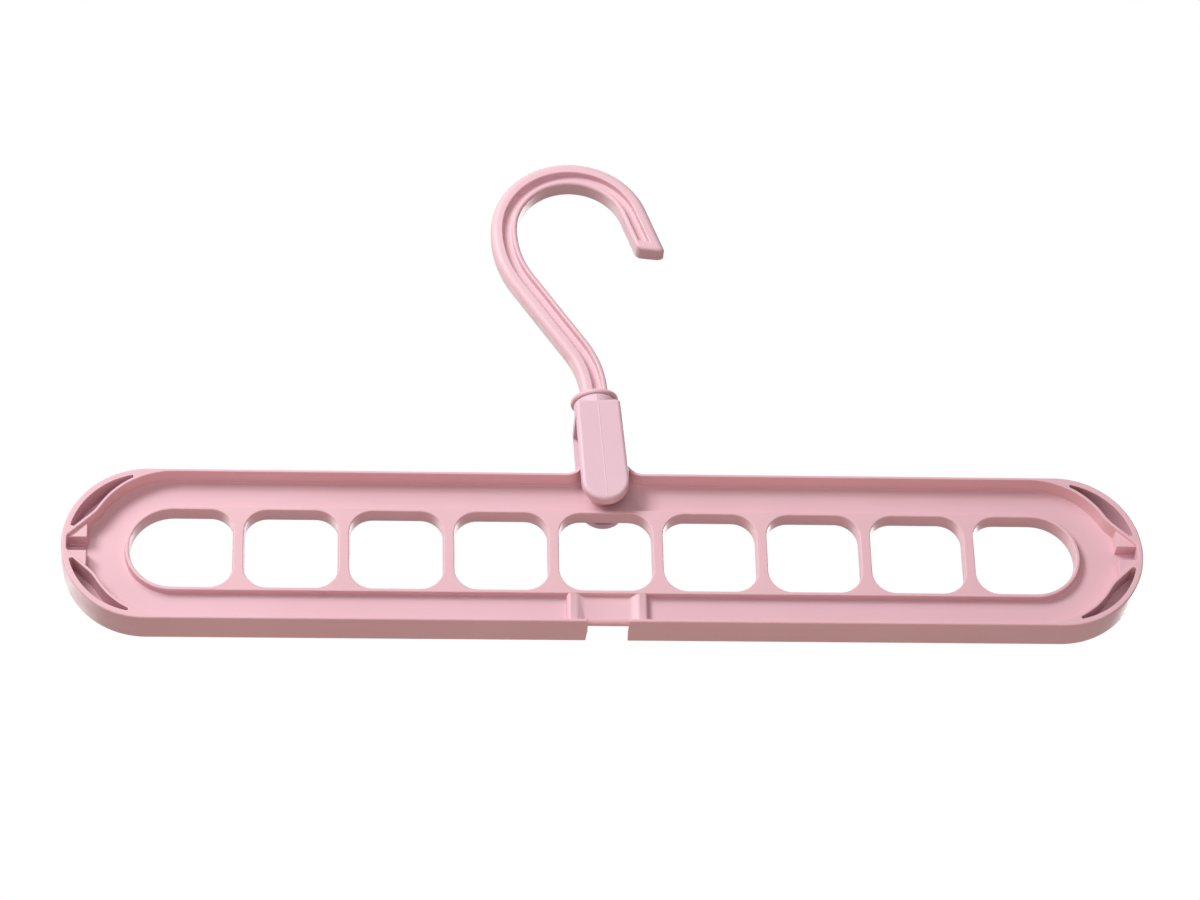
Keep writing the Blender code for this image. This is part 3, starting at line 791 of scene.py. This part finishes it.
def leg_outline(inset):
    """Front view of a leg and its head: a round lower end and round upper corners."""
    corner = (LEG_HALF - HEAD_ROUND, HEAD_SHOULDER - HEAD_ROUND)
    right = arc(corner, HEAD_ROUND - inset, 0, 90, FINE_STEPS)
    foot = arc((0, 0), LEG_FOOT - inset, 180, 360, ARC_STEPS)
    return chain(right, mirror_x(right), foot)


def yoke_shell():
    levels = edge_levels(YOKE_DEPTH, LEG_EDGE)
    return stacked(leg_outline, signed(levels, -1) + signed(levels[::-1], 1))


def head_ring(bm, z, share):
    """A horizontal section of the dome: two arcs that meet in a faint crease at the front."""
    radius = HEAD_SEAT + HEAD_CREASE
    half_turn = math.degrees(math.acos(HEAD_CREASE / radius))
    right = arc((-HEAD_CREASE, 0), radius, -half_turn, half_turn, ROUND_STEPS // 2)
    stretch = 1 + (1 - share) * HEAD_FLARE / HEAD_SEAT
    return [bm.verts.new((x, y * stretch, z)) for x, y in chain(right, mirror_x(right))]


def head_dome():
    """The dome between the head's shoulder and the collar."""
    bm = bmesh.new()
    rings = [head_ring(bm, HEAD_SHOULDER - HEAD_LAP, 0)]
    rise = HEAD_TOP - HEAD_SHOULDER
    for angle in quarter(2 * FINE_STEPS):
        rings.append(head_ring(bm, HEAD_SHOULDER + rise * math.sin(angle), 1 - math.cos(angle)))
    add_bands(bm, rings)
    bm.faces.new(rings[0])
    bm.faces.new(rings[-1])
    return finish_solid(bm)


def crease_dome(yoke):
    """Keeps the dome's front and back crease sharp where its two halves meet."""
    points = yoke.data.vertices
    edges = yoke.data.edges
    marks = yoke.data.attributes.get("sharp_edge")
    if marks is None:
        marks = yoke.data.attributes.new("sharp_edge", "BOOLEAN", "EDGE")
    for edge in edges:
        ends = [points[index].co for index in edge.vertices]
        on_seam = all(abs(end.x) < NEARLY and end.z > HEAD_SHOULDER for end in ends)
        if on_seam and all(abs(end.y) > HEAD_SEAT for end in ends):
            marks.data[edge.index].value = True


def gap_solid():
    """The space between the legs, where the bar turns."""
    wide = 2 * LEG_HALF
    return extruded(oblong(wide, GAP_HALF), along_z, -wide, HEAD_BOTTOM)


def cavity_solid():
    """The low window over the legs' gap, a little deeper than the gap itself."""
    flat = CAVITY_HALF - CAVITY_ROUND
    right = arc((flat, CAVITY_TOP - CAVITY_ROUND), CAVITY_ROUND, 0, 90, FINE_STEPS)
    low = HEAD_BOTTOM - CAVITY_LAP
    section = chain([(CAVITY_HALF, low)], right, mirror_x(right), [(-CAVITY_HALF, low)])
    wide = 2 * LEG_HALF
    return extruded(section, along_x, -wide, wide)


def shank_bore_solid():
    high = HEAD_TOP + SHANK_BORE
    return turned([(0, HEAD_BOTTOM), (SHANK_BORE, HEAD_BOTTOM), (SHANK_BORE, high), (0, high)])


def pin_solid(side):
    """A stub pin on the inner face of one leg, tapered to snap in."""
    root = (GAP_HALF + YOKE_DEPTH) / 2
    levels = ((0, side * root), (0, side * (PIN_TIP + PIN_TAPER)), (PIN_TAPER, side * PIN_TIP))

    def outline(inset):
        return arc((0, 0), PIN_RADIUS - inset, 0, 360, ROUND_STEPS)[:-1]

    return stacked(outline, levels)


def lean(obj):
    """Puts a piece made about the pivot into its place on the leaning swivel axis."""
    obj.data.transform(Matrix.Translation(PIVOT) @ Matrix.Rotation(-LEAN, 4, "Y"))


def make_yoke():
    steps = [("UNION", head_dome()), ("DIFFERENCE", gap_solid())]
    steps += [("DIFFERENCE", cavity_solid()), ("DIFFERENCE", shank_bore_solid())]
    steps += [("UNION", pin_solid(side)) for side in (-1, 1)]
    yoke = combine("yoke_moulding", yoke_shell(), steps)
    smooth(yoke)
    crease_dome(yoke)
    lean(yoke)
    return yoke


def band_course():
    """(length, turn, steps, groove, cut) of the band's straights and arcs, upwards."""
    tip_run = TIP_LENGTH - GROOVE_END - GROOVE_RUN
    fine = FINE_STEPS
    return [
        (STEM_FOOT - GROOVE_RUN, 0, 1, 0, 0),
        (GROOVE_RUN, 0, 1, 1, 0),
        (STEM_BEND_RADIUS * STEM_LEAN, STEM_LEAN, 2 * fine, 1, 0),
        (STEM_LENGTH, 0, 2 * fine, 1, 0),
        (SHOULDER_RADIUS * SHOULDER_TURN, -SHOULDER_TURN, 2 * fine, 1, 0),
        (ARC_RADIUS * ARC_TURN, -ARC_TURN, BAND_STEPS, 1, 0),
        (tip_run, 0, fine, 1, 1),
        (GROOVE_RUN, 0, 1, 0, 1),
        (GROOVE_END - TIP_ROUND, 0, 1, 0, 1),
    ]


def band_stations():
    """(x, z, heading, groove, fade, cut) along the band; fade rounds the tip's end."""
    x = 0
    z = (COLLAR_BOTTOM + COLLAR_TOP) / 2
    heading = math.pi / 2
    groove = 0
    cut = 0
    stations = [(x, z, heading, groove, 0, cut)]
    for length, turn, steps, groove_to, cut_to in band_course():
        angle = turn / steps
        stride = length / steps
        if turn:
            stride *= math.sin(abs(angle) / 2) / (abs(angle) / 2)
        for step in range(1, steps + 1):
            x += stride * math.cos(heading + angle / 2)
            z += stride * math.sin(heading + angle / 2)
            heading += angle
            share = step / steps
            cut_now = cut + (cut_to - cut) * share
            stations.append((x, z, heading, groove_to, 0, cut_now))
        groove = groove_to
        cut = cut_to
    for angle in quarter()[1:]:
        along = TIP_ROUND * math.sin(angle)
        place = (x + along * math.cos(heading), z + along * math.sin(heading))
        stations.append((*place, heading, groove, 1 - math.cos(angle), cut))
    return stations


def band_section(groove, fade):
    """Cross-section of the band: (offset to the left of the course, y)."""
    floor = GROOVE_DEPTH - BAND_FACE
    front = [
        (BAND_HALF, -BAND_FACE, BAND_EDGE),
        (GROOVE_OUTER, -BAND_FACE, GROOVE_EDGE),
        (GROOVE_OUTER - GROOVE_DRAFT, floor, GROOVE_FILLET),
        (GROOVE_DRAFT - GROOVE_INNER, floor, GROOVE_FILLET),
        (-GROOVE_INNER, -BAND_FACE, GROOVE_EDGE),
        (-BAND_HALF, -BAND_FACE, BAND_INNER_EDGE),
    ]
    across_share = 1 - fade * TIP_ROUND / BAND_HALF
    depth_share = 1 - fade * TIP_FACE_ROUND / BAND_FACE
    outline = rounded(front + [(x, -y, radius) for x, y, radius in reversed(front)])
    section = []
    for x, y in outline:
        if BAND_INNER_EDGE - BAND_HALF < x < BAND_HALF - BAND_EDGE:
            y = math.copysign(BAND_FACE - (BAND_FACE - abs(y)) * groove, y)
        section.append((x * across_share, y * depth_share))
    return section


def band_solid():
    """The hook's band: one cross-section swept along its course, its end cut at a slant."""
    bm = bmesh.new()
    slope = math.tan(TIP_CUT)
    loops = []
    for x, z, heading, groove, fade, cut in band_stations():
        along = Vector((math.cos(heading), 0, math.sin(heading)))
        left = Vector((-math.sin(heading), 0, math.cos(heading)))
        loop = []
        for across, y in band_section(groove, fade):
            point = Vector((x, y, z)) + left * across + along * (across * slope * cut)
            loop.append(bm.verts.new(point))
        loops.append(loop)
    add_bands(bm, loops)
    bm.faces.new(loops[0])
    bm.faces.new(loops[-1])
    return finish_solid(bm)


def stub_solid():
    """The collar that rests on the yoke, and the shank with its snap head below."""
    rim = COLLAR_RADIUS - COLLAR_EDGE
    profile = [
        (0, BARB_BOTTOM),
        (BARB_TIP_RADIUS, BARB_BOTTOM),
        (BARB_RADIUS, BARB_TOP - BARB_LIP),
        (BARB_RADIUS, BARB_TOP),
        (SHANK_RADIUS, BARB_TOP),
        (SHANK_RADIUS, COLLAR_BOTTOM),
    ]
    profile += arc((rim, COLLAR_BOTTOM + COLLAR_EDGE), COLLAR_EDGE, -90, 0, FINE_STEPS)
    profile += arc((rim, COLLAR_TOP - COLLAR_EDGE), COLLAR_EDGE, 0, 90, FINE_STEPS)
    profile.append((0, COLLAR_TOP))
    return turned(profile)


def slit_solid():
    """The slit that lets the snap head close."""
    section = oblong(SLIT_HALF, 2 * BARB_RADIUS)
    return extruded(section, along_z, BARB_BOTTOM - BARB_RADIUS, SLIT_TOP)


def make_hook():
    steps = [("UNION", stub_solid()), ("DIFFERENCE", slit_solid())]
    hook = combine("hook_moulding", band_solid(), steps)
    lean(hook)
    smooth(hook)
    return hook


def node(tree, kind, **values):
    made = tree.nodes.new(kind)
    for key, value in values.items():
        setattr(made, key, value)
    return made


def noise(tree, coords, scale, detail):
    made = node(tree, "ShaderNodeTexNoise")
    made.inputs["Scale"].default_value = scale
    made.inputs["Detail"].default_value = detail
    tree.links.new(coords, made.inputs["Vector"])
    return made.outputs["Fac"]


def spread(tree, value, from_low, from_high, low, high):
    """value, remapped from one range to another and clamped."""
    made = node(tree, "ShaderNodeMapRange")
    ends = {"From Min": from_low, "From Max": from_high, "To Min": low, "To Max": high}
    for name, number in ends.items():
        made.inputs[name].default_value = number
    tree.links.new(value, made.inputs["Value"])
    return made.outputs["Result"]


def mixed(tree, share, first, second):
    """A colour between two others; each is a colour or an output."""
    made = node(tree, "ShaderNodeMix", data_type="RGBA")
    tree.links.new(share, made.inputs["Factor"])
    for index, colour in ((MIX_FIRST, first), (MIX_SECOND, second)):
        if isinstance(colour, bpy.types.NodeSocket):
            tree.links.new(colour, made.inputs[index])
        else:
            made.inputs[index].default_value = colour
    return made.outputs[MIX_RESULT]


def clouded(tree, coords, scale, detail, colour, shade):
    """A colour that drifts to its shade in soft clouds."""
    clouds = noise(tree, coords, scale, detail)
    share = spread(tree, clouds, NOISE_LOW, NOISE_HIGH, 0.0, 1.0)
    return mixed(tree, share, colour, shade)


def bump(tree, value, strength, height, normal=None):
    """The normal that value raises, on top of another normal if one is given."""
    made = node(tree, "ShaderNodeBump")
    made.inputs["Strength"].default_value = strength
    made.inputs["Distance"].default_value = height
    tree.links.new(value, made.inputs["Height"])
    if normal is not None:
        tree.links.new(normal, made.inputs["Normal"])
    return made.outputs["Normal"]


def noise_bump(tree, coords, kind, normal=None):
    """The normal that a noise raises; kind is one of the bumps named above."""
    scale, detail, strength, height = kind
    return bump(tree, noise(tree, coords, scale, detail), strength, height, normal)


def seam_share(tree):
    """1 on the yoke's centre plane and 0 beside it, for its faint parting line."""
    place = node(tree, "ShaderNodeTexCoord").outputs["Object"]
    local = node(tree, "ShaderNodeMapping", vector_type="TEXTURE")
    local.inputs["Location"].default_value = PIVOT
    local.inputs["Rotation"].default_value = (0, -LEAN, 0)
    tree.links.new(place, local.inputs["Vector"])
    parts = node(tree, "ShaderNodeSeparateXYZ")
    tree.links.new(local.outputs["Vector"], parts.inputs["Vector"])
    across = node(tree, "ShaderNodeMath", operation="ABSOLUTE")
    tree.links.new(parts.outputs["X"], across.inputs[0])
    return spread(tree, across.outputs["Value"], 0.0, SEAM_HALF, 1.0, 0.0)


def pink_plastic(name, colour, shade, seed, seam):
    """Satin polypropylene: faint flow clouds, fine grain, and convex edges lightened as a
    painted highlight.

    seam adds the yoke's parting line.
    """
    material = bpy.data.materials.new(name)
    material.use_nodes = True
    tree = material.node_tree
    shader = tree.nodes["Principled BSDF"]
    place = node(tree, "ShaderNodeTexCoord").outputs["Object"]
    shift = node(tree, "ShaderNodeMapping")
    shift.inputs["Location"].default_value = (seed, seed, seed)
    tree.links.new(place, shift.inputs["Vector"])
    coords = shift.outputs["Vector"]
    tinted = clouded(tree, coords, CLOUD_SCALE, CLOUD_DETAIL, colour, shade)
    # Painted highlight: convex edges, found by pointiness, are lightened towards a paler copy
    # of the colour
    edge = node(tree, "ShaderNodeNewGeometry").outputs["Pointiness"]
    painted_highlight = spread(tree, edge, EDGE_HIGHLIGHT_LOW, EDGE_HIGHLIGHT_HIGH, 0.0, EDGE_HIGHLIGHT_SHARE)
    pale = tuple(min(1.0, part * EDGE_HIGHLIGHT_LIFT) for part in colour[:3]) + (1.0,)
    tree.links.new(mixed(tree, painted_highlight, tinted, pale), shader.inputs["Base Color"])
    rough = noise(tree, coords, ROUGH_SCALE, ROUGH_DETAIL)
    rough = spread(tree, rough, NOISE_LOW, NOISE_HIGH, ROUGH_LOW, ROUGH_HIGH)
    tree.links.new(rough, shader.inputs["Roughness"])
    normal = noise_bump(tree, coords, GRAIN)
    normal = noise_bump(tree, coords, WAVES, normal)
    if seam:
        normal = bump(tree, seam_share(tree), SEAM_STRENGTH, SEAM_HEIGHT, normal)
    tree.links.new(normal, shader.inputs["Normal"])
    shader.inputs["IOR"].default_value = PLASTIC_IOR
    shader.inputs["Specular IOR Level"].default_value = PLASTIC_SPECULAR
    return material


def dress(obj, body, cad_node, material):
    """Gives a moulding its material and puts it in its CAD node's place."""
    obj.data.materials.clear()
    obj.data.materials.append(material)
    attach(obj, body)
    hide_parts(cad_node)


def add_light(name, place, aim, width, height, power, colour):
    """A soft rectangular lamp that faces aim."""
    data = bpy.data.lights.new(name, "AREA")
    data.color = colour
    data.shape = "RECTANGLE"
    data.size = width
    data.size_y = height
    data.energy = power
    lamp = bpy.data.objects.new(name, data)
    bpy.context.collection.objects.link(lamp)
    lamp.location = place
    lamp.rotation_euler = (Vector(aim) - Vector(place)).to_track_quat("-Z", "Y").to_euler()


def add_camera():
    """The photograph's camera, placed from its fitted turn, rise, roll and distance."""
    turn = Matrix.Rotation(VIEW_ROLL, 3, "Z")
    turn = turn @ Matrix.Rotation(VIEW_RISE, 3, "X") @ Matrix.Rotation(VIEW_TURN, 3, "Y")
    axes = [Vector((row[0], -row[2], row[1])) for row in turn]
    front = Vector((BAR_CENTRE.x, -HALF_DEPTH, BAR_CENTRE.z))
    place = front - sum((axis * part for axis, part in zip(axes, VIEW_PLACE)), Vector())
    data = bpy.data.cameras.new("photo_camera")
    data.lens = VIEW_LENS
    data.sensor_width = VIEW_SENSOR
    camera = bpy.data.objects.new("photo_camera", data)
    bpy.context.collection.objects.link(camera)
    camera.matrix_world = Matrix.Translation(place) @ Matrix(axes).transposed().to_4x4()
    bpy.context.scene.camera = camera


def seen_share(tree):
    """1 for what the camera sees, also reflected or through glass, and 0 for other light."""
    rays = node(tree, "ShaderNodeLightPath")
    seen = rays.outputs["Is Camera Ray"]
    for name in ("Is Glossy Ray", "Is Transmission Ray"):
        either = node(tree, "ShaderNodeMath", operation="MAXIMUM")
        tree.links.new(seen, either.inputs[0])
        tree.links.new(rays.outputs[name], either.inputs[1])
        seen = either.outputs["Value"]
    return seen


def add_floor():
    """A pale floor that keeps the object's shadow and lights nothing with its glow."""
    bm = bmesh.new()
    corners = oblong(FLOOR_HALF, FLOOR_HALF)
    bm.faces.new([bm.verts.new((x, y, FLOOR_HEIGHT)) for x, y in corners])
    floor = new_object("studio_floor", bm)
    material = bpy.data.materials.new("studio_floor")
    material.use_nodes = True
    tree = material.node_tree
    shader = tree.nodes["Principled BSDF"]
    coords = node(tree, "ShaderNodeTexCoord").outputs["Object"]
    pale = clouded(tree, coords, FLOOR_SCALE, FLOOR_DETAIL, FLOOR_COLOUR, FLOOR_SHADE)
    tree.links.new(pale, shader.inputs["Base Color"])
    shader.inputs["Roughness"].default_value = FLOOR_ROUGHNESS
    shader.inputs["Emission Color"].default_value = WHITE
    glow = spread(tree, seen_share(tree), 0.0, 1.0, 0.0, FLOOR_GLOW)
    tree.links.new(glow, shader.inputs["Emission Strength"])
    material.cycles.emission_sampling = "NONE"
    floor.data.materials.append(material)


def add_world():
    """White behind the object and in reflections, and a dim even fill for everything else."""
    world = bpy.data.worlds.new("studio")
    bpy.context.scene.world = world
    world.use_nodes = True
    tree = world.node_tree
    background = tree.nodes["Background"]
    seen = seen_share(tree)
    glow = spread(tree, seen, 0.0, 1.0, FILL_STRENGTH, 1.0)
    tree.links.new(glow, background.inputs["Strength"])
    tree.links.new(mixed(tree, seen, FILL_COLOUR, WHITE), background.inputs["Color"])


dress(make_bar(), "bar", "nine_hole_bar",
      pink_plastic("bar_pink", BAR_PINK, BAR_SHADE, seed=0.0, seam=False))
dress(make_yoke(), "yoke", "fork_yoke",
      pink_plastic("yoke_pink", YOKE_PINK, YOKE_SHADE, seed=1.3, seam=True))
dress(make_hook(), "hook", "swivel_hook",
      pink_plastic("hook_pink", HOOK_PINK, HOOK_SHADE, seed=2.7, seam=False))

for light in LIGHTS:
    add_light(*light)
add_floor()
add_world()
add_camera()
bpy.context.scene.view_settings.view_transform = "Standard"
